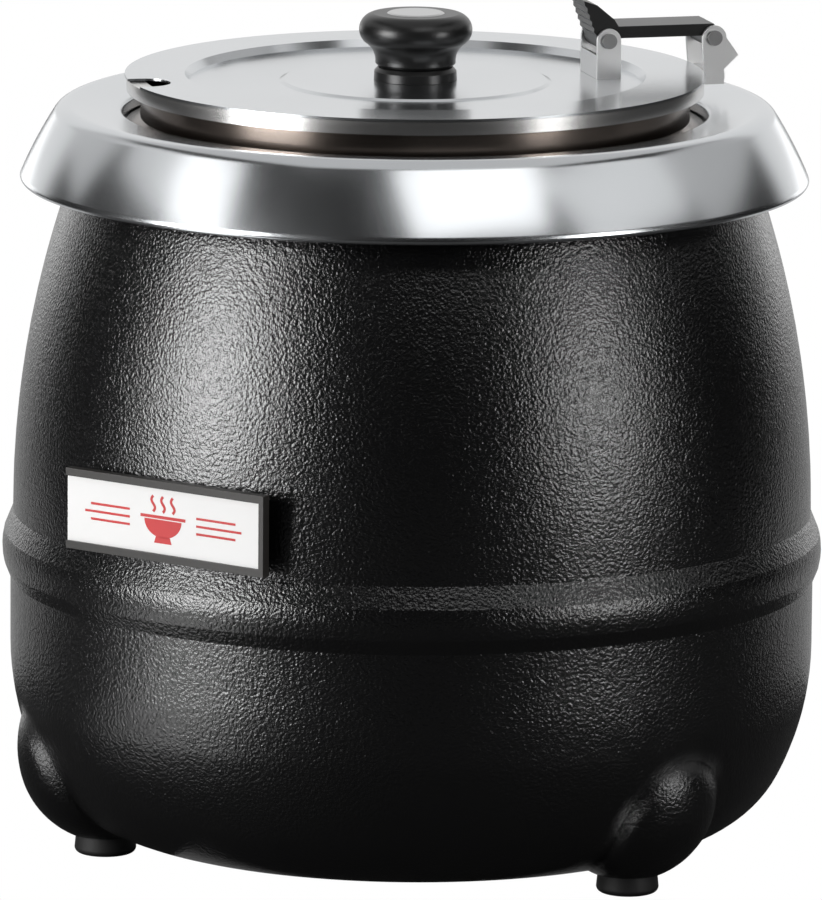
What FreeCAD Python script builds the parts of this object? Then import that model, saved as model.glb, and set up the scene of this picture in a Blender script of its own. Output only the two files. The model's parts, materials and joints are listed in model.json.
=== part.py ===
import FreeCAD, Part
import math
import os
import Sketcher

# Soup kettle: a steel body with a heated water well, a lift-out pot and a hinged lid.
# Millimetres, +Z up, origin on the floor under the body's axis.
# The label side faces -X -Y, the lid's hinge is on the +X side.

doc = FreeCAD.newDocument("soup_kettle")
sheet = doc.addObject("Spreadsheet::Sheet", "sizes")
Vector = FreeCAD.Vector
UP = Vector(0, 0, 1)
CORNER_CUT = 1 - math.sqrt(0.5)


class Size:
    """A number together with the spreadsheet expression that gives it."""

    def __init__(self, value, text):
        self.value = float(value)
        self.text = text

    def join(self, other, sign, value):
        return Size(value, f"({self.text} {sign} {as_size(other).text})")

    def __add__(self, other):
        return self.join(other, "+", self.value + as_size(other).value)

    def __sub__(self, other):
        return self.join(other, "-", self.value - as_size(other).value)

    def __mul__(self, other):
        return self.join(other, "*", self.value * as_size(other).value)

    def __truediv__(self, other):
        return self.join(other, "/", self.value / as_size(other).value)

    def __neg__(self):
        return as_size(0) - self


def as_size(number):
    return number if isinstance(number, Size) else Size(number, repr(float(number)))


def root(size):
    return Size(math.sqrt(size.value), f"sqrt({size.text})")


def sine(degrees):
    return Size(math.sin(math.radians(degrees.value)), f"sin({degrees.text})")


def cosine(degrees):
    return Size(math.cos(math.radians(degrees.value)), f"cos({degrees.text})")


def size(name, value):
    """Put one driving dimension in the sheet and return it as a Size."""
    row = len(sheet.getUsedCells()) // 2 + 1
    sheet.set(f"A{row}", name)
    sheet.set(f"B{row}", str(value))
    sheet.setAlias(f"B{row}", name)
    return Size(value, f"sizes.{name}")


# Sheet metal and clearances
wall = size("shell_wall", 1.2)
pot_wall = size("pot_wall", 1.0)
lid_wall = size("lid_wall", 1.0)
seat_gap = size("seat_gap", 0.2)
part_gap = size("part_gap", 0.4)
pin_gap = size("pin_gap", 0.05)
cutter = size("cutter_length", 40.0)

# Outer body
bead_radius = size("bead_radius", 172.5)
seam_radius = bead_radius - size("seam_inset", 3.4)
shell_radius = bead_radius - size("shell_inset", 4.5)
bead_bottom = size("bead_bottom_height", 115.0)
bead_top = bead_bottom + size("bead_height", 28.0)
bead_slope = size("bead_slope_length", 6.0)
bead_crown = size("bead_crown", 0.8)
lip_edge = size("bead_lip_edge", 2.0)
seam_overlap = size("seam_overlap", 20.0)
bowl_start = bead_bottom - size("straight_wall_height", 28.0)
bowl_side = size("bowl_side_radius", 118.0)
bowl_turn = size("bowl_turn_angle", 27.0)
belly_height = size("belly_height", 9.0)
cover_hole = bead_radius - size("base_hole_inset", 76.5)

# Legs and feet
foot_circle = bead_radius - size("foot_inset", 40.9)
foot_turn = size("first_foot_angle", -46.5)
foot_radius = size("foot_radius", 13.0)
foot_height = size("foot_height", 8.4)
foot_edge = size("foot_edge_radius", 2.5)
foot_taper = size("foot_taper", 0.6)
lobe_foot = size("leg_bottom_radius", 15.0)
lobe_middle = size("leg_middle_radius", 25.5)
lobe_radius = size("leg_side_radius", 36.0)
lobe_middle_rise = size("leg_middle_rise", 7.4)
lobe_rise = size("leg_rise", 27.0)
lobe_crest = size("leg_crest_radius", 36.6)
lobe_crest_rise = size("leg_crest_rise", 44.0)
lobe_top = size("leg_top_radius", 30.0)
lobe_top_rise = size("leg_top_rise", 62.0)
screw_radius = size("screw_radius", 2.0)
screw_head = size("screw_head_radius", 4.2)
screw_head_height = size("screw_head_height", 2.4)
foot_screw_grip = size("foot_screw_grip", 3.6)
foot_screw_length = size("foot_screw_length", 11.5)

# Collar
opening_radius = bead_radius - size("opening_inset", 50.1)
ring_height = size("ring_height", 312.6)
ring_rise = size("ring_rise", 2.3)
ring_radius = opening_radius + size("ring_width", 21.1)
lip_round = size("opening_lip_radius", 2.2)
shoulder_radius = ring_radius + size("shoulder_width", 7.9)
shoulder_drop = size("shoulder_drop", 4.0)
shoulder_crest = shoulder_radius - size("shoulder_crest_inset", 3.4)
shoulder_sag = size("shoulder_sag", 0.8)
skirt_radius = shoulder_radius + size("skirt_flare", 13.8)
skirt_height = ring_height - size("skirt_depth", 29.8)
skirt_bulge = size("skirt_bulge", 0.7)
hem_round = size("hem_radius", 1.8)
hem_width = size("hem_width", 3.2)
throat_depth = size("throat_depth", 11.6)
ledge_width = size("ledge_width", 2.5)
collar_flange = opening_radius + size("collar_flange_width", 2.4)
shell_neck = opening_radius + size("shell_neck_offset", 10.7)
stud_circle = opening_radius + size("stud_offset", 5.6)
stud_length = size("stud_length", 11.0)
stud_turn = size("first_stud_angle", 30.0)
nut_radius = size("nut_radius", 3.6)
nut_height = size("nut_height", 3.2)

# Water well and heater
well_bottom = size("well_bottom_height", 58.0)
well_corner = size("well_corner_radius", 14.0)
heater_inner = size("heater_inner_radius", 60.0)
heater_outer = size("heater_outer_radius", 95.0)
heater_height = size("heater_thickness", 5.6)
clamp_radius = size("clamp_radius", 100.0)
clamp_height = size("clamp_thickness", 2.0)
stud_radius = size("heater_stud_radius", 3.0)
stud_tail = size("heater_stud_tail", 9.0)
heater_nut = size("heater_nut_radius", 6.0)
heater_nut_height = size("heater_nut_height", 5.0)
cutout_radius = size("cutout_radius", 8.0)
cutout_height = size("cutout_height", 8.0)
cutout_place = size("cutout_distance", 55.0)

# Base cover
cover_radius = cover_hole + size("base_cover_overlap", 8.0)
cover_screw_circle = cover_hole + size("base_screw_offset", 4.0)
cover_screw_length = size("base_screw_length", 6.0)
cover_screw_turn = size("first_base_screw_angle", 45.0)

# Pot
pot_radius = opening_radius - size("pot_inset", 7.4)
pot_bottom = well_bottom + size("water_depth", 14.0)
pot_corner = size("pot_corner_radius", 18.0)
rim_radius = opening_radius - size("rim_inset", 1.6)
rim_drop = size("rim_drop", 5.5)
rim_fold = size("rim_fold", 1.2)
rest_radius = opening_radius - size("rest_bead_inset", 1.2)
rest_height = size("rest_bead_height", 3.0)

# Lid
lid_radius = opening_radius - size("lid_inset", 0.9)
lid_height = ring_height + size("lid_rise", 14.9)
lid_step = lid_radius - size("lid_flange_width", 24.0)
lid_recess = size("lid_recess", 3.0)
lid_slope = size("lid_step_slope", 2.0)
lid_ring = size("lid_ring_radius", 56.0)
lid_ring_rise = size("lid_ring_rise", 0.8)
notch_width = size("notch_width", 22.0)
notch_depth = size("notch_depth", 16.0)

# Lid knob
knob_base_radius = size("knob_base_radius", 17.4)
knob_base_height = size("knob_base_height", 5.2)
knob_groove = size("knob_groove_depth", 1.6)
knob_neck = size("knob_neck_radius", 16.8)
knob_neck_height = size("knob_neck_height", 3.0)
knob_radius = size("knob_radius", 23.7)
knob_wide = size("knob_wide_height", 20.8)
knob_height = size("knob_height", 27.8)
knob_crown = size("knob_crown_radius", 18.0)
knob_flare = size("knob_flare", 1.2)
knob_flare_rise = size("knob_flare_rise", 4.0)
knob_under = size("knob_under_radius", 21.2)
knob_under_height = size("knob_under_height", 15.6)
knob_cap_radius = size("knob_cap_radius", 12.0)
knob_cap_height = size("knob_cap_height", 0.9)
knob_cap_seat = size("knob_cap_seat", 0.5)
knob_screw_length = size("knob_screw_length", 14.0)

# Hinge
hinge_angle = size("hinge_angle", 15.0)
front_pivot = lid_radius - size("front_pivot_inset", 41.0)
rear_pivot = rim_radius + size("rear_pivot_offset", 5.7)
pivot_height = lid_height - lid_recess + size("pivot_rise", 16.0)
pin_radius = size("pin_radius", 2.0)
pin_head = size("pin_head_radius", 3.2)
pin_head_height = size("pin_head_height", 1.0)
ear_radius = size("ear_radius", 5.2)
ear_thickness = size("ear_thickness", 1.4)
lever_width = size("lever_width", 22.0)
arm_low_rise = size("arm_bottom_rise", 0.8)
arm_high_rise = size("arm_top_rise", 5.8)
lever_end = size("lever_end_radius", 4.6)
tab_height = size("thumb_tab_height", 17.0)
tab_lean = size("thumb_tab_lean", 6.0)
tab_thickness = size("thumb_tab_thickness", 5.8)
rib_depth = size("thumb_rib_depth", 1.0)
tab_round = size("thumb_tab_round", 2.0)
tab_root = size("thumb_tab_root", 3.0)
bracket_base = size("bracket_base_height", 4.5)
rim_foot_depth = size("rim_bracket_depth", 10.0)
rim_corner = size("rim_bracket_corner", 10.5)
rim_corner_drop = size("rim_bracket_corner_drop", 7.5)
rim_shoulder_drop = size("rim_bracket_shoulder_drop", 4.0)
foot_bevel = size("rim_bracket_bevel", 1.0)
rivet_radius = size("rivet_radius", 1.6)
rivet_head = size("rivet_head_radius", 3.0)
rivet_head_height = size("rivet_head_height", 1.1)
rivet_spread = size("rivet_spread", 14.0)

# Soup label
label_angle = size("label_angle", 234.2)
label_width = size("label_width", 101.0)
label_height = size("label_height", 33.6)
label_middle = bead_top + size("label_rise", 20.4)
label_thickness = size("label_holder_thickness", 4.0)
label_back = size("label_back_thickness", 1.4)
rail_height = size("label_rail_height", 3.2)
rail_overlap = size("label_rail_overlap", 1.6)
rail_lip = size("label_rail_lip", 1.0)
end_stop = size("label_end_stop", 2.4)
card_thickness = size("card_thickness", 1.0)
saddle_width = size("label_saddle_width", 60.0)
saddle_standoff = size("label_saddle_standoff", 1.0)

# Controls at the back
control_angle = size("control_angle", 52.0)
control_height = bead_bottom - size("control_drop", 19.0)
dial_radius = size("dial_radius", 17.5)
dial_thickness = size("dial_thickness", 2.4)
dial_knob_radius = size("dial_knob_radius", 14.0)
dial_knob_length = size("dial_knob_length", 14.0)
dial_knob_taper = size("dial_knob_taper", 2.0)
shaft_radius = size("shaft_radius", 3.0)
shaft_length = size("shaft_length", 9.0)
thermostat_width = size("thermostat_width", 34.0)
thermostat_depth = size("thermostat_depth", 22.0)
strap_width = size("thermostat_strap_width", 16.0)
strap_depth = size("thermostat_strap_depth", 4.0)
strap_thickness = size("thermostat_strap_thickness", 2.0)
lamp_angle = size("lamp_angle", 68.0)
lamp_radius = size("lamp_radius", 5.0)
lamp_bezel = size("lamp_bezel_radius", 7.0)
lamp_length = size("lamp_length", 20.0)
lamp_dome = size("lamp_dome", 3.0)
gland_angle = size("gland_angle", 32.0)
gland_radius = size("gland_radius", 8.0)
gland_bore = size("gland_bore_radius", 3.6)
gland_flange = size("gland_flange_radius", 12.0)
gland_length = size("gland_length", 14.0)
gland_thread = size("gland_thread_length", 11.0)
gland_nut = size("gland_nut_radius", 12.0)
gland_nut_length = size("gland_nut_length", 5.0)
block_length = size("terminal_block_length", 34.0)
block_width = size("terminal_block_width", 18.0)
block_height = size("terminal_block_height", 14.0)
block_place = cover_hole - size("terminal_block_inset", 26.0)
wire_radius = size("wire_radius", 1.5)
wire_bend = size("wire_bend_radius", 8.0)
wire_rise = size("wire_rise", 16.0)
wire_step = size("wire_step", 2.0)
wire_spread = size("wire_spread_angle", 8.0)
neutral_turn = size("neutral_wire_angle", -40.0)
heater_turn = size("heater_wire_angle", 24.0)

doc.recompute()

# Heights and radii that follow from the driving dimensions
ring_under = ring_height - wall
shell_top = ring_under - seat_gap
ledge_top = ring_height - throat_depth + wall
well_flange_top = ledge_top + wall
lid_panel = lid_height - lid_recess
lid_centre = lid_panel + lid_ring_rise
rim_top = lid_height - lid_wall - seat_gap
rest_bottom = well_flange_top + seat_gap
bead_low = bead_bottom + bead_slope
bead_high = bead_top - bead_slope * 1.5
heater_top = well_bottom - seat_gap
clamp_top = heater_top - heater_height - seat_gap
clamp_bottom = clamp_top - clamp_height
cover_top = belly_height - seat_gap
cover_bottom = cover_top - wall
leg_bottom = foot_height + seat_gap
lever_half = lever_width / 2
ear_inside = lever_half + part_gap
ear_outside = ear_inside + ear_thickness
card_height = label_height - rail_height * 2 + rail_overlap * 2 - part_gap * 2
parts = []


def keep(thing, label):
    """Name a finished sub-part and list it for writing."""
    thing.Label = label
    parts.append(thing)
    return thing


def place(thing, x=0.0, y=0.0, z=0.0, turn=None, axis=UP):
    """Bind an object's place, and its turn about one axis, to sizes."""
    for name, value in (("x", x), ("y", y), ("z", z)):
        thing.setExpression(f"Placement.Base.{name}", as_size(value).text)
    if turn is not None:
        thing.Placement = FreeCAD.Placement(thing.Placement.Base, FreeCAD.Rotation(axis, as_size(turn).value))
        thing.setExpression("Placement.Rotation.Angle", as_size(turn).text)
    return thing


def sketch_on(body, role, name):
    """A sketch on one of the body's own origin planes."""
    sketch = body.newObject("Sketcher::SketchObject", name)
    plane = [item for item in body.Origin.OriginFeatures if item.Role == role][0]
    sketch.AttachmentSupport = [(plane, "")]
    sketch.MapMode = "FlatFace"
    return sketch


def pin_point(sketch, element, point, across, up):
    """Hold one sketch point at a distance from the origin, both ways."""
    for kind, axis, value in (("DistanceX", -2, across), ("DistanceY", -1, up)):
        if abs(value.value) < 1e-9:
            sketch.addConstraint(Sketcher.Constraint("PointOnObject", element, point, axis))
            continue
        index = sketch.addConstraint(Sketcher.Constraint(kind, -1, 1, element, point, value.value))
        sketch.setExpression(f"Constraints[{index}]", value.text)


def draw(sketch, outline):
    """Draw a closed outline. A corner is (across, up); an arc adds the point it passes through."""
    corners = [tuple(as_size(number) for number in corner) for corner in outline]
    elements = []
    for start, end in zip(corners, corners[1:] + corners[:1]):
        a = Vector(start[0].value, start[1].value, 0)
        b = Vector(end[0].value, end[1].value, 0)
        if len(end) == 4:
            middle = Vector(end[2].value, end[3].value, 0)
            elements.append((sketch.addGeometry(Part.Arc(a, middle, b), False), end))
        else:
            elements.append((sketch.addGeometry(Part.LineSegment(a, b), False), end))
    ends = [near_ends(sketch, element, corner) for (element, _), corner in zip(elements, corners)]
    for i, (element, end) in enumerate(elements):
        follower = (i + 1) % len(elements)
        link = (element, ends[i][1], elements[follower][0], ends[follower][0])
        sketch.addConstraint(Sketcher.Constraint("Coincident", *link))
        pin_point(sketch, element, ends[i][1], end[0], end[1])
        if len(end) == 4:
            middle = Vector(end[2].value, end[3].value, 0)
            point = sketch.addGeometry(Part.Point(middle), True)
            pin_point(sketch, point, 1, end[2], end[3])
            sketch.addConstraint(Sketcher.Constraint("PointOnObject", point, 1, element))


def near_ends(sketch, element, corner):
    """Which of an element's two ends starts at the corner, and which leaves it."""
    start = sketch.getPoint(element, 1)
    at_start = start.distanceToPoint(Vector(corner[0].value, corner[1].value, 0)) < 1e-6
    return (1, 2) if at_start else (2, 1)


def add_circle(sketch, radius, across, up):
    """A circle held by its radius and centre."""
    circle = Part.Circle(Vector(as_size(across).value, as_size(up).value, 0), UP, as_size(radius).value)
    element = sketch.addGeometry(circle, False)
    index = sketch.addConstraint(Sketcher.Constraint("Radius", element, as_size(radius).value))
    sketch.setExpression(f"Constraints[{index}]", as_size(radius).text)
    pin_point(sketch, element, 3, as_size(across), as_size(up))


def new_body(name):
    return doc.addObject("PartDesign::Body", name + "_body")


def revolve(body, outline, name="profile"):
    """Add an outline in the XZ plane turned about the body's upright axis."""
    sketch = sketch_on(body, "XZ_Plane", name)
    draw(sketch, outline)
    feature = body.newObject("PartDesign::Revolution", name + "_turned")
    feature.Profile = sketch
    feature.ReferenceAxis = (sketch, ["V_Axis"])
    feature.Angle = 360
    return feature


def turned(name, outline):
    body = new_body(name)
    revolve(body, outline)
    return body


def padded(name, outline, width, holes=()):
    """An outline in the XZ plane, with round holes, padded to both sides of the plane."""
    body = new_body(name)
    sketch = sketch_on(body, "XZ_Plane", "outline")
    draw(sketch, outline)
    for radius, across, up in holes:
        add_circle(sketch, radius, across, up)
    feature = body.newObject("PartDesign::Pad", "pad")
    feature.Profile = sketch
    feature.Midplane = True
    feature.Length = as_size(width).value
    feature.setExpression("Length", as_size(width).text)
    return body


def rod(radius, length, x=0.0, y=0.0, z=0.0, axis="Z"):
    """A cylinder that starts at a point and runs along +X, +Y or +Z."""
    thing = doc.addObject("Part::Cylinder", "rod")
    thing.setExpression("Radius", as_size(radius).text)
    thing.setExpression("Height", as_size(length).text)
    turns = {"X": (Vector(0, 1, 0), 90), "Y": (Vector(1, 0, 0), -90), "Z": (UP, 0)}
    thing.Placement = FreeCAD.Placement(Vector(), FreeCAD.Rotation(*turns[axis]))
    for name, value in (("x", x), ("y", y), ("z", z)):
        thing.setExpression(f"Placement.Base.{name}", as_size(value).text)
    return thing


def block(length, width, height, x=0.0, y=0.0, z=0.0):
    """A box from its lowest corner."""
    thing = doc.addObject("Part::Box", "block")
    for name, value in (("Length", length), ("Width", width), ("Height", height)):
        thing.setExpression(name, as_size(value).text)
    return place(thing, x, y, z)


def fuse(*things):
    thing = doc.addObject("Part::MultiFuse", "fused")
    thing.Shapes = list(things)
    return thing


def cut(base, *tools):
    thing = doc.addObject("Part::Cut", "cut")
    thing.Base = base
    thing.Tool = tools[0] if len(tools) == 1 else fuse(*tools)
    return thing


def group(things):
    thing = doc.addObject("Part::Compound", "group")
    thing.Links = list(things)
    return thing


def carry(thing, x=0.0, y=0.0, z=0.0, turn=None):
    """Move a piece, as it was made, to its place."""
    holder = doc.addObject("Part::Compound", "carried")
    holder.Links = [thing]
    return place(holder, x, y, z, turn)


def around(count, first, make, radius):
    """Copies made at even turns about the body's axis, each standing at a radius."""
    copies = []
    for i in range(count):
        angle = as_size(first) + 360.0 / count * i
        copies.append(carry(make(), radius * cosine(angle), radius * sine(angle)))
    return copies


def shell_edge(height, inset):
    """The upper shell's radius at a height, its wall inset from the outer face."""
    slope = shell_radius - shell_neck
    full_rise = shell_top - bead_top
    arc = (full_rise * full_rise + slope * slope) / (slope * 2)
    centre = shell_radius - arc
    reach = arc - inset
    rise = height - bead_top
    return centre + root(reach * reach - rise * rise)


def upper_shell():
    middle = (bead_top + shell_top) / 2
    crest = (bead_low + bead_high) / 2
    lip = seam_radius + seat_gap
    inside_top = shell_top - wall
    body = turned("upper_shell", [
        (lip, bead_bottom),
        (bead_radius - bead_crown, bead_low),
        (bead_radius - bead_crown, bead_high, bead_radius, crest),
        (shell_radius, bead_top),
        (shell_edge(shell_top, 0), shell_top, shell_edge(middle, 0), middle),
        (collar_flange, shell_top),
        (collar_flange, inside_top),
        (shell_edge(inside_top, wall), inside_top),
        (shell_radius - wall, bead_top, shell_edge(middle, wall), middle),
        (bead_radius - bead_crown - wall, bead_high),
        (bead_radius - bead_crown - wall, bead_low, bead_radius - wall, crest),
        (lip, bead_bottom + lip_edge),
    ])
    hole = screw_radius + pin_gap
    holes = around(3, stud_turn, lambda: rod(hole, wall * 4, z=shell_top - wall * 2), stud_circle)
    return keep(cut(body, *holes), "upper_shell")


def bowl_points(inset):
    """Corners of the lower shell's side and belly, inset from its outer face."""
    turn_height = bowl_start - bowl_side * sine(bowl_turn)
    turn_radius = seam_radius - bowl_side + bowl_side * cosine(bowl_turn)
    corner = (turn_height - belly_height) / (as_size(1) - sine(bowl_turn))
    flat = turn_radius - corner * cosine(bowl_turn)
    side_reach = bowl_side - inset
    corner_reach = corner - inset
    half = bowl_turn / 2
    steep = (bowl_turn + 90) / 2
    centre = seam_radius - bowl_side
    corner_height = belly_height + corner
    return {
        "start": (seam_radius - inset, bowl_start),
        "side": (centre + side_reach * cosine(half), bowl_start - side_reach * sine(half)),
        "turn": (centre + side_reach * cosine(bowl_turn), bowl_start - side_reach * sine(bowl_turn)),
        "corner": (flat + corner_reach * cosine(steep), corner_height - corner_reach * sine(steep)),
        "flat": (flat, belly_height + inset),
    }


def bowl_outline():
    outer = bowl_points(as_size(0))
    inner = bowl_points(wall)
    top = bead_bottom + seam_overlap
    return [
        (seam_radius, top),
        outer["start"],
        outer["turn"] + outer["side"],
        outer["flat"] + outer["corner"],
        (cover_hole, belly_height),
        (cover_hole, belly_height + wall),
        inner["flat"],
        inner["turn"] + inner["corner"],
        inner["start"] + inner["side"],
        (seam_radius - wall, top),
    ]


def bowl_hollow():
    """The space inside the lower shell, which the legs don't reach into."""
    inner = bowl_points(wall)
    return turned("bowl_hollow", [
        (0, belly_height + wall),
        inner["flat"],
        inner["turn"] + inner["corner"],
        inner["start"] + inner["side"],
        (seam_radius - wall, bead_top),
        (0, bead_top),
    ])


def leg():
    return turned("leg", [
        (0, leg_bottom),
        (lobe_foot, leg_bottom),
        (lobe_radius, leg_bottom + lobe_rise, lobe_middle, leg_bottom + lobe_middle_rise),
        (lobe_top, leg_bottom + lobe_top_rise, lobe_crest, leg_bottom + lobe_crest_rise),
        (0, leg_bottom + lobe_top_rise),
    ])


def lower_shell():
    """The lower shell with three pressed-out legs and the holes of its fittings."""
    legs = around(3, foot_turn, leg, foot_circle)
    solid = fuse(turned("bowl", bowl_outline()), *[cut(item, bowl_hollow()) for item in legs])
    foot_hole = screw_radius + pin_gap
    depth = belly_height + wall * 8
    holes = around(3, foot_turn, lambda: rod(foot_hole, depth), foot_circle)
    holes += around(4, cover_screw_turn, lambda: rod(foot_hole, depth), cover_screw_circle)
    holes.append(radial(rod(shaft_radius + part_gap, seam_radius * 2, axis="X"), control_angle))
    holes.append(radial(rod(lamp_radius + pin_gap, seam_radius * 2, axis="X"), lamp_angle))
    holes.append(radial(rod(gland_radius + pin_gap, seam_radius * 2, axis="X"), gland_angle))
    return keep(cut(solid, *holes), "lower_shell")


def radial(thing, angle):
    """Turn a piece made along +X to its place round the body at the controls' height."""
    return carry(thing, z=control_height, turn=angle)


def foot_parts():
    for i in range(3):
        angle = foot_turn + 120.0 * i
        foot = turned("foot", [
            (screw_radius + pin_gap, foot_screw_grip),
            (screw_head + part_gap, foot_screw_grip),
            (screw_head + part_gap, 0),
            (foot_radius - foot_edge, 0),
            (foot_radius, foot_edge, foot_radius - foot_edge * CORNER_CUT, foot_edge * CORNER_CUT),
            (foot_radius - foot_taper, foot_height),
            (screw_radius + pin_gap, foot_height),
        ])
        standing = carry(foot, foot_circle * cosine(angle), foot_circle * sine(angle))
        keep(standing, f"foot_{i + 1}")
    screws = around(3, foot_turn, foot_screw, foot_circle)
    keep(group(screws), "foot_screws")


def foot_screw():
    head_top = foot_screw_grip - seat_gap / 4
    return turned("foot_screw", [
        (0, head_top - screw_head_height),
        (screw_head, head_top - screw_head_height),
        (screw_head, head_top),
        (screw_radius, head_top),
        (screw_radius, head_top + foot_screw_length),
        (0, head_top + foot_screw_length),
    ])


def collar():
    hem_top = skirt_height + hem_round
    ring_top = ring_height + ring_rise
    shoulder = ring_top - shoulder_drop
    skirt_middle = (shoulder + hem_top) / 2
    skirt_reach = (shoulder_radius + skirt_radius) / 2 + skirt_bulge
    hem_corner = hem_round * CORNER_CUT
    lip_corner = lip_round * CORNER_CUT
    lip_inset = (lip_round - wall) * CORNER_CUT
    hem_inside = hem_round - wall
    hem_inset = hem_inside * CORNER_CUT
    hem_middle = hem_top - hem_inside + hem_inset
    crest_inset = wall * CORNER_CUT
    crest = ring_top - shoulder_sag
    throat_bottom = ring_height - throat_depth
    lip_inside = opening_radius + lip_round
    body = turned("collar", [
        (skirt_radius - hem_round - hem_width, skirt_height),
        (skirt_radius - hem_round, skirt_height),
        (skirt_radius, hem_top, skirt_radius - hem_corner, skirt_height + hem_corner),
        (shoulder_radius, shoulder, skirt_reach, skirt_middle),
        (ring_radius, ring_top, shoulder_crest, crest),
        (lip_inside, ring_height),
        (opening_radius, ring_height - lip_round, opening_radius + lip_corner, ring_height - lip_corner),
        (opening_radius, ledge_top),
        (opening_radius - ledge_width, ledge_top),
        (opening_radius - ledge_width, throat_bottom),
        (opening_radius + wall, throat_bottom),
        (opening_radius + wall, ring_height - lip_round),
        (lip_inside, ring_under, opening_radius + wall + lip_inset, ring_under - lip_inset),
        (ring_radius, ring_top - wall),
        (shoulder_radius - wall, shoulder, shoulder_crest - crest_inset, crest - wall + crest_inset / 2),
        (skirt_radius - wall, hem_top, skirt_reach - wall, skirt_middle),
        (skirt_radius - hem_round, skirt_height + wall, skirt_radius - wall - hem_inset, hem_middle),
        (skirt_radius - hem_round - hem_width, skirt_height + wall),
    ])
    return keep(body, "collar")


def collar_fixings():
    top = ring_under + (stud_circle - opening_radius - lip_round) * ring_rise / (ring_radius - opening_radius)
    stud_top = top - part_gap
    studs = around(3, stud_turn, lambda: rod(screw_radius, stud_length, z=stud_top - stud_length), stud_circle)
    keep(group(studs), "collar_studs")
    nut_top = shell_top - wall - seat_gap / 4
    nuts = around(3, stud_turn, lambda: ring_nut(nut_radius, screw_radius, nut_height, nut_top), stud_circle)
    keep(group(nuts), "collar_nuts")


def ring_nut(outer, inner, height, top):
    return turned("nut", [
        (inner + pin_gap, top - height),
        (outer, top - height),
        (outer, top),
        (inner + pin_gap, top),
    ])


def water_well():
    inner = opening_radius - ledge_width - part_gap - wall
    outer = inner + wall
    corner = well_corner * CORNER_CUT
    inner_corner = (well_corner - wall) * CORNER_CUT
    body = turned("water_well", [
        (0, well_bottom),
        (outer - well_corner, well_bottom),
        (outer, well_bottom + well_corner, outer - corner, well_bottom + corner),
        (outer, ledge_top),
        (opening_radius - part_gap, ledge_top),
        (opening_radius - part_gap, well_flange_top),
        (inner, well_flange_top),
        (inner, well_bottom + well_corner),
        (outer - well_corner, well_bottom + wall, inner - inner_corner, well_bottom + wall + inner_corner),
        (0, well_bottom + wall),
    ])
    return keep(body, "water_well")


def heater_parts():
    ring = turned("heater_ring", [
        (heater_inner, heater_top - heater_height),
        (heater_outer, heater_top - heater_height),
        (heater_outer, heater_top),
        (heater_inner, heater_top),
    ])
    keep(ring, "heater_ring")
    hole = stud_radius + pin_gap
    clamp = turned("heater_clamp", [
        (hole, clamp_bottom),
        (clamp_radius, clamp_bottom),
        (clamp_radius, clamp_top),
        (hole, clamp_top),
    ])
    keep(clamp, "heater_clamp")
    stud_bottom = clamp_bottom - stud_tail
    keep(rod(stud_radius, heater_top - stud_bottom, z=stud_bottom), "heater_stud")
    nut = ring_nut(heater_nut, stud_radius, heater_nut_height, clamp_bottom - seat_gap)
    keep(nut, "heater_nut")
    cutout_bottom = clamp_bottom - seat_gap - cutout_height
    cutout = rod(cutout_radius, cutout_height, x=-cutout_place, z=cutout_bottom)
    keep(cutout, "thermal_cutout")


def base_parts():
    plate = rod(cover_radius, wall, z=cover_bottom)
    hole = screw_radius + pin_gap
    holes = around(4, cover_screw_turn, lambda: rod(hole, wall * 4, z=cover_bottom - wall), cover_screw_circle)
    keep(cut(plate, *holes), "base_cover")
    head_top = cover_bottom - seat_gap / 4
    screws = around(4, cover_screw_turn, lambda: cover_screw(head_top), cover_screw_circle)
    keep(group(screws), "base_screws")


def cover_screw(head_top):
    return turned("cover_screw", [
        (0, head_top - screw_head_height),
        (screw_head, head_top - screw_head_height),
        (screw_head, head_top),
        (screw_radius, head_top),
        (screw_radius, head_top + cover_screw_length),
        (0, head_top + cover_screw_length),
    ])


def inner_pot():
    inside = pot_radius - pot_wall
    corner = pot_corner * CORNER_CUT
    inner_corner = (pot_corner - pot_wall) * CORNER_CUT
    floor = pot_bottom + pot_wall
    rest_top = rest_bottom + rest_height
    rim_bottom = rim_top - rim_drop
    body = turned("inner_pot", [
        (0, pot_bottom),
        (pot_radius - pot_corner, pot_bottom),
        (pot_radius, pot_bottom + pot_corner, pot_radius - corner, pot_bottom + corner),
        (pot_radius, rest_bottom),
        (rest_radius, rest_bottom),
        (rest_radius, rest_top),
        (pot_radius, rest_top + rest_height),
        (pot_radius, rim_top - rim_fold),
        (rim_radius - rim_fold, rim_top - rim_fold),
        (rim_radius - rim_fold, rim_bottom),
        (rim_radius, rim_bottom),
        (rim_radius, rim_top),
        (inside, rim_top),
        (inside, pot_bottom + pot_corner),
        (pot_radius - pot_corner, floor, inside - inner_corner, floor + inner_corner),
        (0, floor),
    ])
    holes = [hinge_turn(item) for item in rim_rivet_rods(rivet_radius + pin_gap)]
    return keep(cut(body, *holes), "inner_pot")


def hinge_turn(thing):
    """Turn a hinge piece made on the +X side to its place round the rim."""
    return carry(thing, turn=hinge_angle)


def rim_rivet_height():
    return rim_top - rim_drop / 2


def rim_rivet_rods(radius):
    start = rim_radius - rim_fold - part_gap
    length = rim_foot_depth + rim_fold + part_gap * 2
    sides = (rivet_spread / 2, -(rivet_spread / 2))
    return [rod(radius, length, start, side, rim_rivet_height(), "X") for side in sides]


def rim_bracket_face():
    return rim_radius + rim_foot_depth


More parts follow.
